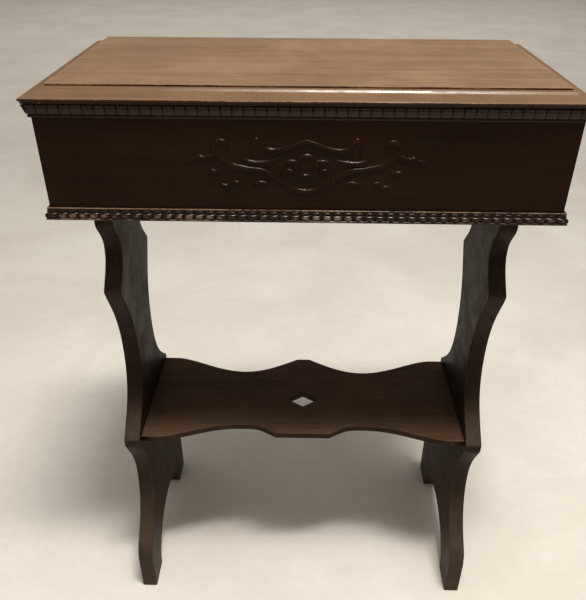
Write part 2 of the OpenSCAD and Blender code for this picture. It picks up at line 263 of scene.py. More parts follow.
def keepPaintedTopLight(piece):
    # painted light from above: what faces upwards keeps its colour; the edges and undersides are darkened as painted
    # shade
    piece.data.update()
    start, span = topLightRange["start"], topLightRange["end"] - topLightRange["start"]
    keepValues(piece, "paintedTopLight", [max(0.0, min(1.0, (v.normal.z - start)/span)) for v in piece.data.vertices])


def smoothEvenly(piece):
    pick(piece)
    bpy.ops.object.shade_smooth()
    applyModifier(piece, "WEIGHTED_NORMAL", weight=60, keep_sharp=True)


def smoothByAngle(piece, degrees=35):
    pick(piece)
    bpy.ops.object.shade_smooth_by_angle(angle=math.radians(degrees))


def fit(piece, body, node, material):
    piece.data.materials.clear()
    piece.data.materials.append(material)
    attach(piece, body)
    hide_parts(node)


# Shader node groups: figure of the wood, wear along edges, marks of age

def addNode(tree, kind, values=None, **settings):
    node = tree.nodes.new(kind)
    for key, value in settings.items():
        setattr(node, key, value)
    for key, value in (values or {}).items():
        node.inputs[key].default_value = value
    return node


def link(tree, source, target):
    tree.links.new(source, target)


def mapRange(tree, source, low, high, outLow=0.0, outHigh=1.0, smooth=True):
    node = addNode(tree, "ShaderNodeMapRange", {1: low, 2: high, 3: outLow, 4: outHigh},
                   interpolation_type="SMOOTHSTEP" if smooth else "LINEAR", clamp=True)
    link(tree, source, node.inputs[0])
    return node.outputs[0]


def calculate(tree, operation, a, b=None, clamp=False):
    node = addNode(tree, "ShaderNodeMath", operation=operation, use_clamp=clamp)
    for socket, value in zip(node.inputs, (a, b)):
        if isinstance(value, (int, float)):
            socket.default_value = value
        elif value is not None:
            link(tree, value, socket)
    return node.outputs[0]


def mixColour(tree, factor, a, b, blend="MIX"):
    node = addNode(tree, "ShaderNodeMix", data_type="RGBA", blend_type=blend, clamp_factor=True)
    for socket, value in ((node.inputs[0], factor), (node.inputs[6], a), (node.inputs[7], b)):
        if isinstance(value, (int, float, tuple)):
            socket.default_value = (*value, 1) if isinstance(value, tuple) else value
        else:
            link(tree, value, socket)
    return node.outputs[2]


def noise(tree, vector, scale, detail=3.0, roughness=0.55, distortion=0.0):
    node = addNode(tree, "ShaderNodeTexNoise", {"Scale": scale, "Detail": detail, "Roughness": roughness,
                                               "Distortion": distortion})
    link(tree, vector, node.inputs["Vector"])
    return node.outputs["Fac"]


def stretched(tree, vector, scale, turn=(0, 0, 0)):
    node = addNode(tree, "ShaderNodeMapping", {"Scale": scale, "Rotation": [math.radians(a) for a in turn]})
    link(tree, vector, node.inputs["Vector"])
    return node.outputs["Vector"]


def startGroup(name, inputs, outputs):
    group = bpy.data.node_groups.new(name, "ShaderNodeTree")
    for socketName, kind, value in inputs:
        socket = group.interface.new_socket(name=socketName, in_out="INPUT", socket_type="NodeSocket" + kind)
        if value is not None:
            socket.default_value = value
    for socketName, kind in outputs:
        group.interface.new_socket(name=socketName, in_out="OUTPUT", socket_type="NodeSocket" + kind)
    return group, addNode(group, "NodeGroupInput"), addNode(group, "NodeGroupOutput")


def makeFigureGroup():
    # the grain vector is already drawn out along the fibres
    group, given, made = startGroup(
        "woodFigure",
        [("Along Grain", "Vector", None), ("Place", "Vector", None), ("Grain Scale", "Float", 200.0)],
        [("Grain", "Float"), ("Streaks", "Float"), ("Pores", "Float"), ("Mottle", "Float")])
    along, place, scale = (given.outputs[i] for i in range(3))
    fine = noise(group, along, 1.0, 7, 0.62, 0.3)
    link(group, scale, fine.node.inputs["Scale"])
    link(group, mapRange(group, fine, 0.3, 0.7), made.inputs["Grain"])
    streaks = noise(group, along, 1.0, 3, 0.5, 1.4)
    link(group, calculate(group, "MULTIPLY", scale, 0.16), streaks.node.inputs["Scale"])
    link(group, mapRange(group, streaks, 0.36, 0.66), made.inputs["Streaks"])
    pores = noise(group, along, 1.0, 2, 0.5)
    link(group, calculate(group, "MULTIPLY", scale, 4.5), pores.node.inputs["Scale"])
    link(group, mapRange(group, pores, 0.6, 0.7), made.inputs["Pores"])
    link(group, mapRange(group, noise(group, place, 11, 4, 0.6, 0.4), 0.34, 0.68), made.inputs["Mottle"])
    return group


def makeWearGroup():
    group, given, made = startGroup(
        "edgeWear",
        [("Arris", "Float", 0.0), ("Place", "Vector", None), ("Reach", "Float", 0.2), ("Amount", "Float", 1.0)],
        [("Wear", "Float")])
    arris, place, reach, amount = (given.outputs[i] for i in range(4))
    ragged = calculate(group, "MULTIPLY", calculate(group, "SUBTRACT", noise(group, place, 190, 6, 0.65), 0.5), 0.75)
    patches = calculate(group, "MULTIPLY", calculate(group, "SUBTRACT", noise(group, place, 17, 2, 0.5), 0.5), 0.8)
    level = calculate(group, "ADD", calculate(group, "ADD", arris, ragged), patches)
    start = calculate(group, "SUBTRACT", 1.0, reach)
    ramp = addNode(group, "ShaderNodeMapRange", {3: 0.0, 4: 1.0}, interpolation_type="SMOOTHSTEP", clamp=True)
    link(group, level, ramp.inputs[0])
    link(group, start, ramp.inputs[1])
    link(group, calculate(group, "ADD", start, 0.22), ramp.inputs[2])
    link(group, calculate(group, "MULTIPLY", ramp.outputs[0], amount, clamp=True), made.inputs["Wear"])
    return group


def makeAgeGroup():
    group, given, made = startGroup(
        "marksOfAge",
        [("Place", "Vector", None)],
        [("Scratches", "Float"), ("Specks", "Float"), ("Smudges", "Float"), ("Dents", "Float")])
    place = given.outputs[0]
    lines = []
    for turn, seed in ((24, 0.3), (-38, 1.7), (71, 4.1)):
        long = stretched(group, stretched(group, place, (1, 1, 1), (0, turn, turn)), (7, 420, 420))
        line = mapRange(group, noise(group, long, 1.0 + seed*0.03, 0), 0.82, 0.9)
        patch = mapRange(group, noise(group, stretched(group, place, (1, 1, 1), (0, 0, turn)), 16, 2), 0.5, 0.6)
        lines.append(calculate(group, "MULTIPLY", line, patch))
    every = calculate(group, "MAXIMUM", calculate(group, "MAXIMUM", lines[0], lines[1]), lines[2])
    link(group, every, made.inputs["Scratches"])
    dots = addNode(group, "ShaderNodeTexVoronoi", {"Scale": 55.0, "Randomness": 1.0})
    link(group, place, dots.inputs["Vector"])
    rare = addNode(group, "ShaderNodeSeparateColor")
    link(group, dots.outputs["Color"], rare.inputs[0])
    speck = calculate(group, "MULTIPLY", mapRange(group, dots.outputs["Distance"], 0.03, 0.1, 1.0, 0.0),
                      mapRange(group, rare.outputs[0], 0.93, 0.97))
    link(group, speck, made.inputs["Specks"])
    link(group, mapRange(group, noise(group, place, 26, 5, 0.7, 0.6), 0.35, 0.7), made.inputs["Smudges"])
    link(group, noise(group, place, 70, 3, 0.5), made.inputs["Dents"])
    return group


figureGroup, wearGroup, ageGroup = makeFigureGroup(), makeWearGroup(), makeAgeGroup()


def startMaterial(name):
    material = bpy.data.materials.new(name)
    material.use_nodes = True
    tree = material.node_tree
    tree.nodes.clear()
    output = addNode(tree, "ShaderNodeOutputMaterial")
    surface = addNode(tree, "ShaderNodeBsdfPrincipled")
    link(tree, surface.outputs[0], output.inputs[0])
    place = addNode(tree, "ShaderNodeTexCoord").outputs["Object"]
    return material, tree, surface, place


def useGroup(tree, group, **inputs):
    node = addNode(tree, "ShaderNodeGroup", node_tree=group)
    for key, value in inputs.items():
        socket = node.inputs[" ".join(w.capitalize() for w in key.split("_"))]
        if isinstance(value, (int, float)):
            socket.default_value = value
        else:
            link(tree, value, socket)
    return node.outputs


grainAlong = {"x": (0.05, 1, 1), "y": (1, 0.05, 1), "z": (1, 1, 0.05)}


def stainedWood(name, look, grain):
    # stained and varnished wood, with its bare edges showing through where it is rubbed
    material, tree, surface, place = startMaterial(name)
    figure = useGroup(tree, figureGroup, along_grain=stretched(tree, place, grainAlong[grain]), place=place,
                      grain_scale=look["grainScale"])
    age = useGroup(tree, ageGroup, place=place)
    arris = addNode(tree, "ShaderNodeAttribute", attribute_name="arris").outputs["Fac"]
    wear = useGroup(tree, wearGroup, arris=arris, place=place, reach=look["wearReach"], amount=look["wearAmount"])
    colour = mixColour(tree, figure["Grain"], look["dark"], look["light"])
    for mask, layer in (("Streaks", "streak"), ("Mottle", "mottle"), ("Pores", "pore")):
        share = calculate(tree, "MULTIPLY", figure[mask], look[layer + "Amount"])
        colour = mixColour(tree, share, colour, look[layer])
    # painted shade: faces that don't point up are darkened, and upward faces keep the painted light from above
    if "paintedSideShade" in look:
        paintedTopLight = addNode(tree, "ShaderNodeAttribute", attribute_name="paintedTopLight").outputs["Fac"]
        sideShade = mixColour(tree, paintedTopLight, look["paintedSideShade"], (1, 1, 1))
        colour = mixColour(tree, 1.0, colour, sideShade, blend="MULTIPLY")
    if "paintedFootLight" in look:
        # painted light: the feet are painted paler towards the floor, and the front edges at knee height get a
        # painted pool of light
        apart = addNode(tree, "ShaderNodeSeparateXYZ")
        link(tree, place, apart.inputs[0])
        above = apart.outputs[2]
        patchy = mapRange(tree, age["Smudges"], 0.0, 1.0, look["patchyFrom"], 1.0, smooth=False)
        footLit = calculate(tree, "MULTIPLY", mapRange(tree, above, look["footLightHeight"], 0.0), patchy)
        colour = mixColour(tree, footLit, colour, look["paintedFootLight"])
        # a painted pool of light on the upward faces of the front edges at knee height
        low, full, less, high = look["kneeLightHeights"]
        lightened = calculate(tree, "MULTIPLY", mapRange(tree, above, low, full), mapRange(tree, above, high, less))
        lightened = calculate(tree, "MULTIPLY", calculate(tree, "MULTIPLY", lightened, paintedTopLight), patchy)
        colour = mixColour(tree, lightened, colour, look["lightened"])
    colour = mixColour(tree, wear["Wear"], colour, look["worn"])
    marks = calculate(tree, "MAXIMUM", age["Scratches"], age["Specks"])
    colour = mixColour(tree, calculate(tree, "MULTIPLY", marks, look["markAmount"]), colour, look["mark"])
    link(tree, colour, surface.inputs["Base Color"])
    low, high = look["gloss"]
    gloss = mapRange(tree, age["Smudges"], 0, 1, low, high, smooth=False)
    gloss = calculate(tree, "ADD", gloss, calculate(tree, "MULTIPLY", wear["Wear"], look["wornDulling"]))
    gloss = calculate(tree, "ADD", gloss, calculate(tree, "MULTIPLY", figure["Pores"], 0.12), clamp=True)
    link(tree, gloss, surface.inputs["Roughness"])
    height = calculate(tree, "ADD", calculate(tree, "MULTIPLY", figure["Grain"], look["grainDepth"]),
                       calculate(tree, "MULTIPLY", age["Dents"], look["dentDepth"]))
    height = calculate(tree, "SUBTRACT", height, calculate(tree, "MULTIPLY", figure["Pores"], look["poreDepth"]))
    height = calculate(tree, "SUBTRACT", height, calculate(tree, "MULTIPLY", age["Scratches"], look["scratchDepth"]))
    bump = addNode(tree, "ShaderNodeBump", {"Strength": look["bump"], "Distance": mm})
    link(tree, height, bump.inputs["Height"])
    link(tree, bump.outputs[0], surface.inputs["Normal"])
    surface.inputs["IOR"].default_value = 1.5
    surface.inputs["Specular IOR Level"].default_value = look["shine"]
    return material


# In these looks, the colour that multiplies faces not pointing up is painted shade
lidLook = {
    "grainScale": 210.0, "dark": (0.205, 0.124, 0.069), "light": (0.282, 0.175, 0.1),
    "streak": (0.165, 0.096, 0.052), "streakAmount": 0.5, "mottle": (0.325, 0.208, 0.124), "mottleAmount": 0.5,
    "pore": (0.12, 0.055, 0.025), "poreAmount": 0.35, "worn": (0.46, 0.29, 0.16), "wearReach": 0.25,
    "wearAmount": 0.5, "wornDulling": 0.08, "mark": (0.5, 0.36, 0.24), "markAmount": 0.25,
    "gloss": (0.27, 0.42), "grainDepth": 0.03, "dentDepth": 0.22, "poreDepth": 0.04, "scratchDepth": 0.03,
    "bump": 0.35, "shine": 0.3, "paintedSideShade": (0.23, 0.15, 0.105),
}
# the worn colour of the lid mouldings also serves as a painted highlight along the nosing
lidEdgeLook = dict(lidLook, dark=(0.158, 0.092, 0.047), light=(0.212, 0.127, 0.068), streak=(0.13, 0.073, 0.036),
                   mottle=(0.24, 0.146, 0.081), gloss=(0.25, 0.37), worn=(0.4, 0.265, 0.165), wearAmount=0.7,
                   shine=0.36)
caseLook = {
    "grainScale": 190.0, "dark": (0.0195, 0.0068, 0.0019), "light": (0.0315, 0.0105, 0.003),
    "streak": (0.0142, 0.005, 0.0016), "streakAmount": 0.5, "mottle": (0.045, 0.0138, 0.0034), "mottleAmount": 0.5,
    "pore": (0.0075, 0.003, 0.0011), "poreAmount": 0.5, "worn": (0.1, 0.066, 0.044), "wearReach": 0.2,
    "wearAmount": 0.5, "wornDulling": 0.02, "mark": (0.2, 0.15, 0.11), "markAmount": 0.12,
    "gloss": (0.25, 0.38), "grainDepth": 0.05, "dentDepth": 0.2, "poreDepth": 0.06, "scratchDepth": 0.03,
    "bump": 0.3, "shine": 0.16,
}
# on the beads, the worn colour on the crests stands partly for wear and partly for a painted highlight
beadLook = dict(caseLook, dark=(0.0225, 0.0098, 0.0036), light=(0.037, 0.016, 0.006), worn=(0.27, 0.178, 0.114),
                wearReach=0.2, wearAmount=0.82, wornDulling=-0.04, gloss=(0.23, 0.32), shine=0.4)
# In the stand's look, the pale colour near the floor and the tan at knee height are painted light
standLook = dict(caseLook, dark=(0.05, 0.031, 0.0193), light=(0.081, 0.0515, 0.0325), streak=(0.039, 0.024, 0.015),
                 mottle=(0.107, 0.069, 0.044), mottleAmount=0.5, worn=(0.13, 0.08, 0.047), wearReach=0.22,
                 wearAmount=0.4, gloss=(0.42, 0.58), wornDulling=0.0, shine=0.14, paintedSideShade=(0.5, 0.43, 0.36),
                 paintedFootLight=(0.09, 0.0625, 0.043), footLightHeight=0.27, patchyFrom=0.55, lightened=(0.42, 0.27, 0.16),
                 kneeLightHeights=(0.36, 0.41, 0.448, 0.468))
shelfLook = dict(standLook, dark=(0.083, 0.047, 0.0255), light=(0.121, 0.07, 0.0395), streak=(0.065, 0.036, 0.019),
                 mottle=(0.145, 0.086, 0.049), shine=0.12, paintedSideShade=(0.42, 0.38, 0.34))
del shelfLook["paintedFootLight"]
innerLook = {
    "grainScale": 170.0, "dark": (0.15, 0.083, 0.039), "light": (0.235, 0.14, 0.07), "streak": (0.12, 0.064, 0.03),
    "streakAmount": 0.5, "mottle": (0.19, 0.11, 0.055), "mottleAmount": 0.5, "pore": (0.09, 0.048, 0.022),
    "poreAmount": 0.4, "worn": (0.34, 0.22, 0.125), "wearReach": 0.2, "wearAmount": 0.4, "wornDulling": 0.0,
    "mark": (0.1, 0.06, 0.035), "markAmount": 0.35, "gloss": (0.55, 0.72), "grainDepth": 0.1, "dentDepth": 0.15,
    "poreDepth": 0.08, "scratchDepth": 0.04, "bump": 0.35, "shine": 0.35,
}
trayLook = dict(innerLook, dark=(0.16, 0.085, 0.04), light=(0.25, 0.14, 0.068), streak=(0.13, 0.066, 0.03),
                mottle=(0.2, 0.11, 0.055), worn=(0.36, 0.23, 0.125), gloss=(0.4, 0.56), shine=0.45)

woods = {}
for woodName, look, grains in (
        ("lidWood", lidLook, "x"), ("lidEdgeWood", lidEdgeLook, "xy"), ("caseWood", caseLook, "xy"),
        ("beadWood", beadLook, "xy"), ("standWood", standLook, "z"), ("shelfWood", shelfLook, "x"),
        ("innerWood", innerLook, "xyz"), ("trayWood", trayLook, "xyz")):
    for grain in grains:
        woods[woodName, grain] = stainedWood(woodName + grain.upper(), look, grain)


def agedMetal(name, bright, tarnish, roughness, amount):
    material, tree, surface, place = startMaterial(name)
    age = useGroup(tree, ageGroup, place=place)
    spots = mapRange(tree, noise(tree, place, 420, 5, 0.6), 0.45 - amount*0.3, 0.75 - amount*0.3)
    colour = mixColour(tree, spots, bright, tarnish)
    colour = mixColour(tree, calculate(tree, "MULTIPLY", age["Scratches"], 0.4), colour, bright)
    link(tree, colour, surface.inputs["Base Color"])
    dull = mapRange(tree, spots, 0, 1, roughness, min(1, roughness + 0.3), smooth=False)
    link(tree, dull, surface.inputs["Roughness"])
    bump = addNode(tree, "ShaderNodeBump", {"Strength": 0.15, "Distance": 0.3*mm})
    link(tree, noise(tree, place, 900, 3), bump.inputs["Height"])
    link(tree, bump.outputs[0], surface.inputs["Normal"])
    surface.inputs["Metallic"].default_value = 1.0
    return material


brass = agedMetal("agedBrass", (0.62, 0.42, 0.16), (0.19, 0.115, 0.05), 0.32, 0.5)
steel = agedMetal("dullSteel", (0.42, 0.41, 0.39), (0.16, 0.11, 0.08), 0.38, 0.4)
print("materials ready")


# Lid: flat field with a stepped moulding on three sides

lidShape = {
    "stepDepth": 1.6,  # the field stands this much above its moulding
    "flatShare": 0.13,  # where the rounded drop starts and ends, as a share of the moulding's width
    "dropShare": 0.24,
    "edgeHeight": 4.4,  # height of the nosing
    "slope": 1.3,  # fall from the foot of the drop to the nosing
    "undercut": 2.4,  # how far the edge is cut back under the nosing
    "arris": 0.9,
    "softening": 0.35,
    "wearAndHighlightReach": 1.3,  # how far the wear and the painted highlight along the nosing reach
    "fieldArris": 0.5,
    "fieldRings": (1.5, 3),
}
panelLow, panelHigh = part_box("lid_panel")
lidLow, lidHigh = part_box("lid_front_moulding")[0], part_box("lid_right_moulding")[1]


def lidSection(width):
    top = (panelHigh.z - panelLow.z)/mm - lidShape["stepDepth"]
    edge, arris, cut = (lidShape[k] for k in ("edgeHeight", "arris", "undercut"))
    flat, drop, low = width*lidShape["flatShare"], width*lidShape["dropShare"], edge + lidShape["slope"]
    return [
        [(0, top)], [(flat, top)],
        [(flat + (drop - flat)*0.3, top), (flat + (drop - flat)*0.7, low), (drop, low)],
        [(width - arris - 0.6, edge + 0.75)],
        [(width - 0.35, edge + 0.7), (width, edge + 0.35), (width, edge - 0.3)],
        [(width, 3.2)], [(width, 2.5), (width - cut*0.4, 2.2), (width - cut, 2.2)], [(width - cut, 0.2)],
        [(width - cut - 0.2, 0)], [(0, 0)],
    ]


frontWidth, sideWidth = (panelLow.y - lidLow.y)/mm, (lidHigh.x - panelHigh.x)/mm
mitrePlace = (lidHigh.x, lidLow.y, 0)
mitreNormal = Vector((frontWidth, sideWidth, 0)).normalized()

lidFront = traceOutline("lidFrontMoulding", lidSection(frontWidth), 8)
fillAndPull(lidFront, [2*lidHigh.x/mm])
settle(lidFront, (90, 0, -90), (lidHigh.x, panelLow.y, panelLow.z))
cutOff(lidFront, mitrePlace, mitreNormal)
cutOff(lidFront, (-mitrePlace[0], mitrePlace[1], 0), (-mitreNormal.x, mitreNormal.y, 0))

lidRight = traceOutline("lidRightMoulding", lidSection(sideWidth), 8)
fillAndPull(lidRight, [(lidHigh.y - lidLow.y)/mm])
settle(lidRight, (90, 0, 0), (panelHigh.x, lidHigh.y, panelLow.z))
cutOff(lidRight, mitrePlace, -mitreNormal)
lidLeft = leftOf(lidRight, "lidLeftMoulding")

nosing = panelLow.z + lidShape["edgeHeight"]*mm
rightCorner, rightEnd = Vector((lidHigh.x, lidLow.y, nosing)), Vector((lidHigh.x, lidHigh.y, nosing))
leftCorner, leftEnd = (Vector((-p.x, p.y, p.z)) for p in (rightCorner, rightEnd))
# the top arris of the nosing is lightened: partly wear, partly a painted highlight
for piece, node, grain, line in ((lidFront, "lid_front_moulding", "x", (leftCorner, rightCorner)),
                                 (lidRight, "lid_right_moulding", "y", (rightCorner, rightEnd)),
                                 (lidLeft, "lid_left_moulding", "y", (leftCorner, leftEnd))):
    wearEdges(piece, lidShape["softening"], 2, reach=lidShape["wearAndHighlightReach"], degrees=40, points=linePoints(*line))
    keepPaintedTopLight(piece)
    fit(piece, "lid", node, woods["lidEdgeWood", grain])

lidPanel = copyNode("lid_panel", "lidPanel")
wearEdges(lidPanel, lidShape["fieldArris"], rings=lidShape["fieldRings"], ringArea=3e-3)
keepPaintedTopLight(lidPanel)
fit(lidPanel, "lid", "lid_panel", woods["lidWood", "x"])
print("lid ready")


# Beaded mouldings: one bead is modelled and repeated along each run

beadShape = {
    "pitch": 10.3,
    "largeOut": 4.8, "smallOut": 3.0, "filletOut": 2.5, "upperOut": 5.6,
    "notch": [(0, 0.55), (0.7, 0.7), (1.7, 0.84), (3.2, 0.95), (5.15, 1.0), (7.1, 0.95), (8.6, 0.84), (9.6, 0.7),
              (10.3, 0.55)],  # place along the bead, and how much of its reach is left there
    # what is cut into beads, from and to as shares of the height, and how deeply the line below it is
    "beaded": {"lower": (0.17, 0.82, 0), "upper": (0.2, 1, 0.4)},
    "line": 0.2,  # height of that line
    "lightened": {"upper": 0.36, "lower": 0.93},  # wear on the crests, and on the lower run a painted highlight as well
}
beadLow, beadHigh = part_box("lower_front_moulding")
frontLow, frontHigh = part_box("box_front")


def lowerSection(tall):
    # from the bottom: plain line, large bead, small bead, fillet
    large, small, fillet = beadShape["largeOut"], beadShape["smallOut"], beadShape["filletOut"]
    return [
        [(large*0.82, 0)],
        [(large*0.9, 0), (large*0.93, tall*0.03), (large*0.93, tall*0.08)],
        [(large*0.93, tall*0.13), (large*0.88, tall*0.165), (large*0.72, tall*0.175)],
        [(large*0.95, tall*0.19), (large, tall*0.27), (large, tall*0.37)],
        [(large, tall*0.48), (large*0.85, tall*0.57), (small*0.72, tall*0.585)],
        [(small*0.95, tall*0.6), (small, tall*0.65), (small, tall*0.695)],
        [(small, tall*0.75), (small*0.92, tall*0.8), (fillet*0.72, tall*0.815)],
        [(fillet*0.92, tall*0.825), (fillet, tall*0.84), (fillet, tall*0.87)],
        [(fillet, tall*0.95)], [(fillet, tall*0.985), (fillet*0.93, tall), (fillet*0.8, tall)],
        [(0, tall)], [(0, 0)],
    ]


def upperSection(tall):
    # from the bottom: thin line, large bead leaning outwards, small bead under the lid
    out, fillet = beadShape["upperOut"], beadShape["filletOut"]
    return [
        [(fillet*0.8, 0)],
        [(fillet*0.95, 0), (fillet, tall*0.03), (fillet, tall*0.08)],
        [(fillet, tall*0.14), (fillet*0.95, tall*0.19), (fillet*0.75, tall*0.2)],
        [(out*0.55, tall*0.22), (out*0.66, tall*0.36), (out*0.72, tall*0.5)],
        [(out*0.79, tall*0.62), (out*0.88, tall*0.74), (out*0.82, tall*0.785)],
        [(out*0.93, tall*0.8), (out, tall*0.83), (out, tall*0.89)],
        [(out, tall*0.96), (out*0.96, tall), (out*0.85, tall)],
        [(0, tall)], [(0, 0)],
    ]


def beadedRun(name, level, length):
    tall = (beadHigh.z - beadLow.z)/mm
    section = lowerSection(tall) if level == "lower" else upperSection(tall)
    run = traceOutline(name, section, 4)
    notch = beadShape["notch"]
    start, end, lineDepth = beadShape["beaded"][level]
    editing(run)
    for (a, _), (b, _) in zip(notch, notch[1:]):
        bpy.ops.mesh.extrude_region_move(TRANSFORM_OT_translate={"value": (0, 0, (b - a)*mm)})
    for place, share in notch:
        for low, high, depth in ((start, end, 1), (0, beadShape["line"], lineDepth)):
            def onBead(v):
                up = v.co.y/mm/tall
                return abs(v.co.z - place*mm) < 1e-6 and v.co.x > 1e-6 and low < up + 1e-4 and up < high
            if depth:
                choose("VERT", onBead)
                bpy.ops.transform.resize(value=(1 - (1 - share)*depth, 1, 1), center_override=(0, 0, 0))
    faceOutwards()
    doneEditing()
    pitch = beadShape["pitch"]
    count = int(length/pitch) + 2
    applyModifier(run, "ARRAY", count=count, use_relative_offset=False, use_constant_offset=True,
                  constant_offset_displace=(0, 0, pitch*mm), use_merge_vertices=True, merge_threshold=1e-5)
    return run, count*pitch


corner = (frontHigh.x, frontLow.y, 0)
for level in ("upper", "lower"):
    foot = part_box(level + "_front_moulding")[0].z
    front, length = beadedRun(level + "FrontMoulding", level, 2*beadHigh.x/mm)
    settle(front, (90, 0, -90), (length/2*mm, frontLow.y, foot))
    cutOff(front, corner, (1, 1, 0))
    cutOff(front, (-corner[0], corner[1], 0), (-1, 1, 0))
    right, length = beadedRun(level + "RightMoulding", level, (lidHigh.y - beadLow.y)/mm)
    settle(right, (90, 0, 0), (frontHigh.x, lidHigh.y + beadShape["pitch"]*0.5*mm, foot))
    cutOff(right, corner, (-1, -1, 0))
    cutOff(right, (0, lidHigh.y, 0), (0, 1, 0))
    left = leftOf(right, level + "LeftMoulding")
    for piece, side in ((front, "front"), (right, "right"), (left, "left")):
        editing(piece)
        faceOutwards()
        doneEditing()
        values = []
        reach = beadShape["upperOut" if level == "upper" else "largeOut"]
        for v in piece.data.vertices:  # the crests are rubbed paler, with a painted highlight added, far more on the lower run; the top of the fillet gets a painted highlight line
            out = (frontLow.y - v.co.y if side == "front" else abs(v.co.x) - frontHigh.x)/mm
            up = (v.co.z - foot)/(beadHigh.z - beadLow.z)
            onFillet = level == "lower" and up > 0.93 and out > beadShape["filletOut"]*0.7
            values.append(1.0 if onFillet else max(0.0, beadShape["lightened"][level]*out/reach))
        keepValues(piece, "arris", values)
        smoothByAngle(piece, 40)
        fit(piece, "stand", f"{level}_{side}_moulding", woods["beadWood", "x" if side == "front" else "y"])
print("beaded mouldings ready")


# Box front, with its scroll carving raised from the panel

carving = {
    "halfWidth": 115.0, "low": 601.0, "high": 663.0, "cell": 0.46, "height": 1.35,
    "lightened": 0.4,  # wear on the crests
    "ring": (632.0, 9.8, 2.0),  # height above the floor, radius and half width
    # strokes on the right half, as (from the middle line, height above the floor, half width)
    "strokes": [
        [(0, 655.4, 1.5), (9, 652.4, 1.9), (20, 648.3, 2.1), (30, 646.3, 2.2), (37.5, 648, 2.1), (42, 652.5, 2.1),
         (46, 656.3, 2.2), (49.3, 653.2, 1.9), (50.6, 647, 1.5), (49.8, 642.5, 0.8)],
        [(18, 613.8, 1.2), (27, 618.6, 2.1), (34, 624, 2.2), (43, 627.8, 2.3), (52, 628.8, 2.2), (60, 630.2, 2.2),
         (69, 632.4, 2.3), (77, 637.6, 2.3), (83.5, 643.6, 2.1), (86, 649, 2), (83.6, 653.6, 2), (78.5, 655, 1.9),
         (73.6, 652.8, 1.6), (72.2, 649, 0.9)],
        [(28.5, 637.6, 0.8), (38, 635.2, 1.9), (48, 634.8, 2.1), (55, 636.6, 1.8), (59.3, 640.6, 1.4),
         (60.5, 644, 0.7)],
        [(83, 643, 1.2), (90, 640.4, 1.9), (95, 639.2, 1.5), (99, 640, 1.7), (103, 638.4, 1.3), (107.5, 636.8, 1.5),
         (112, 634.4, 0.6)],
        [(92.5, 632, 0.7), (89, 627.4, 1.6), (84.8, 626.2, 1.8), (80.6, 628, 1.5), (77.6, 631.4, 0.6)],
        [(79, 614, 0.6), (75, 612, 1.6), (71.2, 613, 1.5), (67.8, 615.6, 1.6), (64, 616, 0.6)],
        [(49.5, 615.2, 0.6), (43.5, 615.9, 1.8), (37, 615.4, 0.6)],
        [(12.2, 627, 1), (16.8, 627.8, 1.7), (20.6, 625.4, 2), (21, 619.8, 2.1), (17.2, 613.6, 2.2), (9, 608.8, 2.2),
         (0, 607.2, 2.2)],
        [(10.5, 636.2, 1.6), (15.5, 636.6, 1.6), (21, 636, 0.7)],
    ],
}


def walkStroke(points, steps=12):
    # a smooth walk through the points of a stroke
    points = [np.array(p, float) for p in points]
    ends = [2*points[0] - points[1], *points, 2*points[-1] - points[-2]]
    walk = []
    for a, b, c, d in zip(ends, ends[1:], ends[2:], ends[3:]):
        for i in range(steps):
            t = i/steps
            walk.append(0.5*(2*b + (c - a)*t + (2*a - 5*b + 4*c - d)*t*t + (3*b - a - 3*c + d)*t**3))
    walk.append(points[-1])
    return np.array(walk)


def reliefAt(x, z):
    # 0 on the plain panel and 1 on the crest of a scroll
    x = np.abs(x)
    ringHeight, ringRadius, ringHalf = carving["ring"]
    best = np.abs(np.hypot(x, z - ringHeight) - ringRadius)/ringHalf
    for stroke in carving["strokes"]:
        for px, pz, half in walkStroke(stroke):
            near = (np.abs(x - px) < 4) & (np.abs(z - pz) < 4)
            best[near] = np.minimum(best[near], np.hypot(x[near] - px, z[near] - pz)/half)
    rise = np.clip((1.12 - best)/0.62, 0, 1)
    return rise*rise*(3 - 2*rise)


clearSelection()
wide, tall = 2*carving["halfWidth"]*mm, (carving["high"] - carving["low"])*mm
across, upward = round(wide/mm/carving["cell"]), round(tall/mm/carving["cell"])
bpy.ops.mesh.primitive_grid_add(x_subdivisions=across, y_subdivisions=upward, size=1)
boxFront = bpy.context.object
boxFront.name = boxFront.data.name = "boxFront"
boxFront.scale = (wide, tall, 1)
settle(boxFront, (90, 0, 0), (0, frontLow.y, (carving["high"] + carving["low"])/2*mm))
co = np.zeros(len(boxFront.data.vertices)*3)
boxFront.data.vertices.foreach_get("co", co)
co = co.reshape(-1, 3)
relief = reliefAt(co[:, 0]/mm, co[:, 2]/mm)
co[:, 1] -= relief*carving["height"]*mm
boxFront.data.vertices.foreach_set("co", co.ravel())
keepValues(boxFront, "arris", relief*carving["lightened"])
editing(boxFront)
top, foot, half = carving["high"]*mm, carving["low"]*mm, carving["halfWidth"]*mm
for side in (-1, 1):
    choose("EDGE", lambda e: e.is_boundary and all(abs(v.co.x - side*half) < 1e-5 for v in e.verts))
    bpy.ops.mesh.extrude_region_move(TRANSFORM_OT_translate={"value": (side*(frontHigh.x - half), 0, 0)})
for level, end in ((top, frontHigh.z), (foot, frontLow.z)):
    choose("EDGE", lambda e: e.is_boundary and all(abs(v.co.z - level) < 1e-5 for v in e.verts))
    bpy.ops.mesh.extrude_region_move(TRANSFORM_OT_translate={"value": (0, 0, end - level)})
choose("EDGE", lambda e: e.is_boundary)
bpy.ops.mesh.extrude_region_move(TRANSFORM_OT_translate={"value": (0, frontHigh.y - frontLow.y, 0)})
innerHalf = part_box("box_back")[1].x
bpy.ops.transform.resize(value=(innerHalf/frontHigh.x, 1, 1), center_override=(0, 0, 0))
bpy.ops.mesh.edge_face_add()
faceOutwards()
doneEditing()

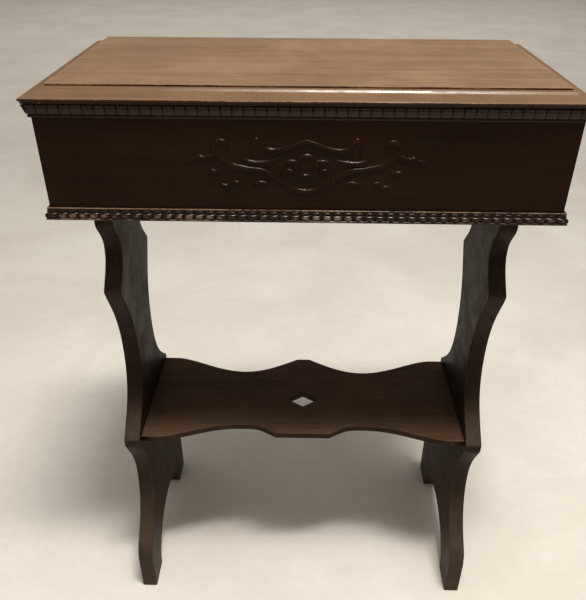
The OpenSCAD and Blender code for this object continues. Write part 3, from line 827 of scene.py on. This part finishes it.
bottomLow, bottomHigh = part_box("box_bottom")
clearSelection()
bpy.ops.mesh.primitive_cube_add(size=1)
cutter = bpy.context.object
cutter.scale = [(h - l) + 0.4*mm for l, h in zip(bottomLow, bottomHigh)]
settle(cutter, (0, 0, 0), (bottomLow + bottomHigh)/2)
applyModifier(boxFront, "BOOLEAN", operation="DIFFERENCE", object=cutter, solver="EXACT")
bpy.data.objects.remove(cutter)
smoothByAngle(boxFront, 40)
fit(boxFront, "stand", "box_front", woods["caseWood", "x"])
print("carved front ready:", len(boxFront.data.polygons), "faces")


# The rest of the box, from the CAD shapes, with softened arrises

boxParts = [
    ("box_left_side", "boxLeftSide", "caseWood", "y", 0.5), ("box_right_side", "boxRightSide", "caseWood", "y", 0.5),
    ("box_back", "boxBack", "caseWood", "x", 0.5), ("box_bottom", "boxBottom", "innerWood", "x", 0.4),
    ("block_front_left", "blockFrontLeft", "innerWood", "z", 0.6),
    ("block_front_right", "blockFrontRight", "innerWood", "z", 0.6),
    ("block_back_left", "blockBackLeft", "innerWood", "z", 0.6),
    ("block_back_right", "blockBackRight", "innerWood", "z", 0.6),
    ("front_runner", "frontRunner", "innerWood", "x", 0.6), ("back_runner", "backRunner", "innerWood", "x", 0.6),
    ("left_cleat", "leftCleat", "innerWood", "y", 0.8), ("right_cleat", "rightCleat", "innerWood", "y", 0.8),
]
partRings = {"box": (1.2, 2.3), "tray": (0.8, 1.4)}
trayArris = 0.7
for node, name, wood, grain, radius in boxParts:
    piece = copyNode(node, name)
    wearEdges(piece, radius, 2, rings=partRings["box"], ringArea=2e-3)
    fit(piece, "stand", node, woods[wood, grain])

trayParts = [
    ("tray_front", "trayFront", "x"), ("tray_back", "trayBack", "x"), ("tray_left_end", "trayLeftEnd", "y"),
    ("tray_right_end", "trayRightEnd", "y"), ("tray_bottom", "trayBottom", "x"),
    ("tray_long_divider", "trayLongDivider", "x"), ("tray_cross_divider", "trayCrossDivider", "y"),
]
for node, name, grain in trayParts:
    piece = copyNode(node, name)
    wearEdges(piece, trayArris, rings=partRings["tray"], ringArea=1e-3)
    fit(piece, "tray", node, woods["trayWood", grain])
print("box and tray ready")


# End boards and shelf

endBoard = {
    "arris": 1.4, "slices": [2.5, 4.5, 6, 4.5, 2.5], "rings": (2, 3.5),
    # half outline from the top down to the floor, as (half depth, height)
    "start": (66, 581),
    "half": [
        [(66, 543)], [(66, 533), (47.5, 523), (47.5, 507)], [(47.5, 488), (60, 480), (75.5, 463)],
        [(66, 438), (40.5, 415), (40.5, 358)], [(40.5, 300), (66.5, 283), (97.5, 257)], [(97.5, 247)],
        [(84.5, 222), (68.5, 205), (68.5, 172)], [(68.5, 125), (92, 97), (112, 82)],
        [(121, 75), (125, 66), (126, 55)], [(126, 0)],
    ],
    "archHalf": 84, "archHeight": 62,
}


def flippedHalf(start, strokes):
    # the same strokes mirrored and walked the other way
    ends = [start] + [s[-1] for s in strokes]
    back = []
    for i in range(len(strokes) - 1, -1, -1):
        handles = [(-x, y) for x, y in strokes[i][:-1]][::-1]
        back.append(handles + [(-ends[i][0], ends[i][1])])
    return back


def boardOutline():
    a, h, k = endBoard["archHalf"], endBoard["archHeight"], 0.5523  # the last makes a quarter ellipse
    toe = endBoard["half"][-1][-1][0]
    arch = [[(a, 0)], [(a, h*k), (a*k, h), (0, h)], [(-a*k, h), (-a, h*k), (-a, 0)], [(-toe, 0)]]
    return endBoard["half"] + arch + flippedHalf(endBoard["start"], endBoard["half"]) + [[endBoard["start"]]]


boardLow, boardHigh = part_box("right_end_board")
middleY = (boardLow.y + boardHigh.y)/2
rightBoard = traceOutline("rightEndBoard", boardOutline(), 14)
fillAndPull(rightBoard, endBoard["slices"])
settle(rightBoard, (90, 0, 90), (boardLow.x, middleY, 0))
leftBoard = leftOf(rightBoard, "leftEndBoard")
for piece, node in ((rightBoard, "right_end_board"), (leftBoard, "left_end_board")):
    wearEdges(piece, endBoard["arris"], rings=endBoard["rings"], ringArea=1e-2)
    keepPaintedTopLight(piece)
    fit(piece, "stand", node, woods["standWood", "z"])

shelf = {
    "arris": 1.5, "slices": [2, 5, 2], "rings": (2, 3),
    "start": (-209, 88),
    "back": [[(-187, 88)], [(-157, 84), (-123, 55.5), (-85, 55.5)], [(-59, 55.5), (-35, 71), (-9, 88)]],
    "front": [[(187, -88)], [(157, -84), (123, -62), (85, -62)], [(59, -62), (61, -61), (35, -78)]],
    "diamond": (21, 15, -7),  # half width, half depth, place
}


def shelfOutline():
    back, front, start = shelf["back"], shelf["front"], shelf["start"]
    opposite = (-start[0], -start[1])
    (backX, backY), (frontX, frontY) = back[-1][-1], front[-1][-1]
    outline = back + [[(-backX, backY)]] + flippedHalf(start, back)
    outline += [[opposite]] + front + [[(-frontX, frontY)]] + flippedHalf(opposite, front) + [[start]]
    return outline


shelfLow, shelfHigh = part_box("shelf")
shelfBoard = traceOutline("shelfBoard", shelfOutline(), 14)
w, d, at = shelf["diamond"]
hole = traceOutline("diamond", [[(w, at)], [(w/2, at + d/2)], [(0, at + d)], [(-w/2, at + d/2)], [(-w, at)],
                                [(-w/2, at - d/2)], [(0, at - d)], [(w/2, at - d/2)]])
hole.select_set(True)
shelfBoard.select_set(True)
bpy.context.view_layer.objects.active = shelfBoard
bpy.ops.object.join()
editing(shelfBoard)
bpy.ops.mesh.fill(use_beauty=True)
pullUp(shelf["slices"])
settle(shelfBoard, (0, 0, 0), (0, middleY, shelfLow.z))
editing(shelfBoard)
choose("FACE", lambda f: abs(f.normal.z) > 0.99)
for ring in shelf["rings"]:
    bpy.ops.mesh.inset(thickness=ring*mm, use_even_offset=True)
doneEditing()
wearEdges(shelfBoard, shelf["arris"], reach=sum(shelf["rings"]), skip=lambda p: abs(p.x) > shelfHigh.x - 1e-4)
keepPaintedTopLight(shelfBoard)
fit(shelfBoard, "stand", "shelf", woods["shelfWood", "x"])
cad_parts["shelf_dowels"].data.materials.clear()
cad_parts["shelf_dowels"].data.materials.append(woods["innerWood", "x"])
print("end boards and shelf ready")


# Hinges, screws and spool pegs

for side in ("left", "right"):
    for part, body in (("box_leaf", "stand"), ("lid_leaf", "lid"), ("pin", "stand")):
        node = f"{side}_hinge_{part}"
        name = side + "Hinge" + "".join(w.capitalize() for w in part.split("_"))
        piece = copyNode(node, name)
        smoothByAngle(piece, 30)
        slotName, material = ("steel", steel) if part == "pin" else ("brass", brass)
        fit(piece, body, node, material)


def turned(name, profile, turns=24):
    # a profile of (radius, height) spun round the Z axis
    clearSelection()
    bpy.ops.curve.primitive_nurbs_path_add()
    piece = bpy.context.object
    piece.name = name
    spline = piece.data.splines[0]
    spline.type = "POLY"
    while len(profile) < 5:
        profile = profile + [profile[-1]]
    spline.points.add(len(profile) - len(spline.points))
    for place, (radius, z) in zip(spline.points, profile):
        place.co = (radius*mm, 0, z*mm, 1)
    bpy.ops.object.convert(target="MESH")
    piece.data.name = name
    editing(piece)
    bpy.ops.mesh.spin(steps=turns, angle=2*math.pi, center=(0, 0, 0), axis=(0, 0, 1))
    bpy.ops.mesh.select_all(action="SELECT")
    bpy.ops.mesh.remove_doubles(threshold=1e-6)
    bpy.ops.mesh.select_all(action="SELECT")
    bpy.ops.mesh.normals_make_consistent(inside=False)
    doneEditing()
    return piece


def slottedScrew(name, size):
    # countersunk, point downwards, with the top of its head at the origin
    shank, head, length = size
    cone = (head - shank)/2
    screw = turned(name, [(0, 0), (head*0.47, 0), (head*0.5, -0.12), (shank*0.5, -cone),
                          (shank*0.5, -length + shank), (shank*0.12, -length), (0, -length)])
    bpy.ops.mesh.primitive_cube_add(size=1)
    blade = bpy.context.object
    blade.scale = (head*1.2*mm, head*0.14*mm, head*0.2*mm)
    settle(blade)
    applyModifier(screw, "BOOLEAN", operation="DIFFERENCE", object=blade, solver="EXACT")
    bpy.data.objects.remove(blade)
    smoothByAngle(screw, 30)
    return screw


def placeScrew(pattern, name, turn, place, body, node, material, twist):
    pick(pattern)
    bpy.ops.object.duplicate()
    screw = bpy.context.object
    screw.name = screw.data.name = name
    screw.rotation_euler = (0, 0, math.radians(twist))
    bpy.ops.object.transform_apply(location=True, rotation=True, scale=True)
    settle(screw, turn, place)
    fit(screw, body, node, material)


# shank, head and length of each kind; then how far apart and how far in they stand
screwSizes = {"boxLeaf": (2.6, 5, 14), "lidLeaf": (2.6, 5, 7), "cleat": (4, 8, 20), "board": (4, 8, 28)}
cleatPitch, leafEdge = 48*mm, 5.5*mm
patterns = {kind: slottedScrew(kind + "Screw", size) for kind, size in screwSizes.items()}
twists = [12, 75, 140, 33, 101, 164, 58, 120, 5, 88]
boxScrewTop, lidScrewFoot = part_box("hinge_box_screws")[1].z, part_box("hinge_lid_screws")[0].z
number = 0
for side in ("left", "right"):
    leafLow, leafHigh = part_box(f"{side}_hinge_box_leaf")
    screwY = leafLow.y + leafEdge
    for row in (-1, 0, 1):
        x = (leafLow.x + leafHigh.x)/2 + row*(leafHigh.x - leafLow.x)/3
        number += 1
        placeScrew(patterns["boxLeaf"], f"boxLeafScrew{number}", (0, 0, 0), (x, screwY, boxScrewTop),
                   "stand", "hinge_box_screws", brass, twists[number % 10])
        placeScrew(patterns["lidLeaf"], f"lidLeafScrew{number}", (180, 0, 0), (x, screwY, lidScrewFoot),
                   "lid", "hinge_lid_screws", brass, twists[(number + 3) % 10])
number = 0
cleatLow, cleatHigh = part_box("right_cleat")
cleatMiddle = (cleatLow + cleatHigh)/2
for side in (-1, 1):
    for row in (-1, 0, 1):
        number += 1
        place = (side*cleatMiddle.x, middleY + row*cleatPitch, cleatLow.z)
        placeScrew(patterns["cleat"], f"cleatScrew{number}", (180, 0, 0), place,
                   "stand", "cleat_screws", steel, twists[number % 10])
        if row:
            number += 1
            place = (side*cleatLow.x, middleY + row*cleatPitch/2, cleatMiddle.z)
            placeScrew(patterns["board"], f"boardScrew{number}", (0, -side*90, 0), place,
                       "stand", "cleat_screws", steel, twists[number % 10])
for pattern in patterns.values():
    bpy.data.objects.remove(pattern)

pegs = {"count": 5, "radius": 2.5}
pegLow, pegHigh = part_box("spool_pegs")
pegTall = (pegHigh.z - pegLow.z)/mm
r = pegs["radius"]
pegPattern = turned("peg", [(0, 0), (r*0.98, 0), (r, 0.3), (r, 6), (r*0.93, 15), (r*0.88, pegTall - 2.2),
                            (r*0.8, pegTall - 1.1), (r*0.55, pegTall - 0.3), (r*0.25, pegTall - 0.04),
                            (0, pegTall)], 20)
smoothByAngle(pegPattern, 40)
for i in range(pegs["count"]):
    pick(pegPattern)
    bpy.ops.object.duplicate()
    peg = bpy.context.object
    peg.name = peg.data.name = f"spoolPeg{i + 1}"
    span = pegHigh.x - pegLow.x - 2*r*mm
    x = pegLow.x + r*mm + span*i/(pegs["count"] - 1)
    settle(peg, (0, 0, 0), (x, (pegLow.y + pegHigh.y)/2, pegLow.z))
    fit(peg, "tray", "spool_pegs", woods["trayWood", "z"])
bpy.data.objects.remove(pegPattern)
print("hinges, screws and pegs ready")


# Floor, light and camera

floorLook = {"dark": (0.76, 0.70, 0.605), "light": (0.85, 0.795, 0.7), "fine": (0.68, 0.62, 0.53), "fineAmount": 0.25}


def floorMaterial():
    material, tree, surface, place = startMaterial("paleFloor")
    tone = mapRange(tree, noise(tree, place, 3.2, 5, 0.6, 0.5), 0.3, 0.7)
    fine = mapRange(tree, noise(tree, place, 60, 6, 0.7), 0.3, 0.7)
    colour = mixColour(tree, tone, floorLook["dark"], floorLook["light"])
    colour = mixColour(tree, calculate(tree, "MULTIPLY", fine, floorLook["fineAmount"]), colour, floorLook["fine"])
    link(tree, colour, surface.inputs["Base Color"])
    surface.inputs["Roughness"].default_value = 0.6
    surface.inputs["Specular IOR Level"].default_value = 0.3
    return material


clearSelection()
bpy.ops.mesh.primitive_plane_add(size=14, location=(0, 3, 0))
floor = bpy.context.object
floor.name = "floor"
floor.data.materials.append(floorMaterial())

studio = {
    "backdrop": (0.56, 0.555, 0.545),  # what is seen behind the floor; the other three only light the object
    "ahead": (0.2, 0.195, 0.187), "behind": (0.19, 0.186, 0.178), "above": (0.46, 0.451, 0.433),
    "gamma": 0.86,
    "lamps": {
        "key": {"place": (0.3, -0.58, 2.7), "aim": (0.15, -0.2, 0.5), "size": (0.66, 0.26), "power": 50},
        "spread": {"place": (0.25, -0.5, 2.6), "aim": (0.1, -0.1, 0.5), "size": (1.5, 0.6), "power": 16},
        "rear": {"place": (0, 4.4, 3.2), "aim": (0, 4.4, 0), "size": (6, 4), "power": 26, "spread": 100},
    },
}
shown = bpy.context.scene.view_settings
shown.view_transform = "Standard"
shown.gamma = studio["gamma"]
world = bpy.data.worlds.new("studio")
bpy.context.scene.world = world
world.use_nodes = True
sky = world.node_tree
background = sky.nodes["Background"]
towards = addNode(sky, "ShaderNodeSeparateXYZ")
link(sky, addNode(sky, "ShaderNodeTexCoord").outputs["Generated"], towards.inputs[0])
skyColour = mixColour(sky, mapRange(sky, towards.outputs[1], -0.35, 0.75), studio["ahead"], studio["behind"])
skyColour = mixColour(sky, mapRange(sky, towards.outputs[2], 0.25, 0.9), skyColour, studio["above"])
seen = addNode(sky, "ShaderNodeLightPath").outputs["Is Camera Ray"]
skyColour = mixColour(sky, seen, skyColour, studio["backdrop"])
link(sky, skyColour, background.inputs["Color"])
for lamp, setup in studio["lamps"].items():
    light = bpy.data.lights.new(lamp, "AREA")
    light.shape = "RECTANGLE"
    light.size, light.size_y = setup["size"]
    light.energy = setup["power"]
    light.spread = math.radians(setup.get("spread", 180))
    stand = bpy.data.objects.new(lamp, light)
    bpy.context.scene.collection.objects.link(stand)
    stand.location = setup["place"]
    stand.rotation_euler = (Vector(setup["place"]) - Vector(setup["aim"])).to_track_quat("Z", "Y").to_euler()

view = {"place": (-0.0011, -0.737, 0.8455), "down": 33.84, "turn": -0.795, "roll": 0.344, "lens": 40.15,
        "shift": (-0.0036, 0.0639)}
camera = bpy.data.objects.new("camera", bpy.data.cameras.new("camera"))
bpy.context.scene.collection.objects.link(camera)
down, turn, roll = (math.radians(view[k]) for k in ("down", "turn", "roll"))
ahead = Vector((math.sin(turn)*math.cos(down), math.cos(turn)*math.cos(down), -math.sin(down)))
level = Vector((math.cos(turn), -math.sin(turn), 0))
upward = level.cross(ahead)
across = level*math.cos(roll) + upward*math.sin(roll)
upward = across.cross(ahead)
camera.matrix_world = Matrix.Translation(view["place"]) @ Matrix((across, upward, -ahead)).transposed().to_4x4()
camera.data.lens = view["lens"]
camera.data.sensor_width = 36
camera.data.shift_x, camera.data.shift_y = view["shift"]
camera.data.clip_start, camera.data.clip_end = 0.01, 60
bpy.context.scene.camera = camera

print("scene ready")
